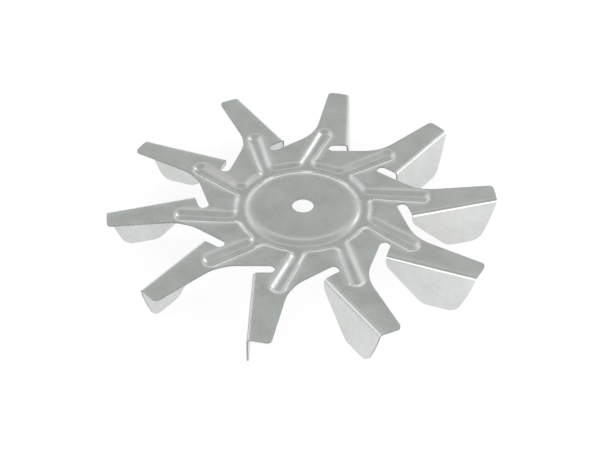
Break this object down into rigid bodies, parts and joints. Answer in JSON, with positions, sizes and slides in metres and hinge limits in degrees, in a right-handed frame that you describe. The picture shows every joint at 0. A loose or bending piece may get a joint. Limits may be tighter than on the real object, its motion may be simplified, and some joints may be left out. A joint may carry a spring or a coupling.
{
  "type": "oven fan wheel",
  "caption": "Pressed sheet-steel fan wheel for a convection oven, with swept blades, folded flanges, pressed ribs and a round centre bore.",
  "frame": {"origin": "centre of the bore, on the top face of the hub disc", "axes": "+Z along the bore, away from the folded flanges; +Y through one blade, whose leading edge is on its -X side"},
  "size_m": [0.1498, 0.148, 0.0185],
  "materials": {
    "steel_sheet": "satin, fine spangle of a metal-coated sheet"
  },
  "bodies": {
    "root": {"fan_wheel": "steel_sheet"}
  },
  "joints": []
}
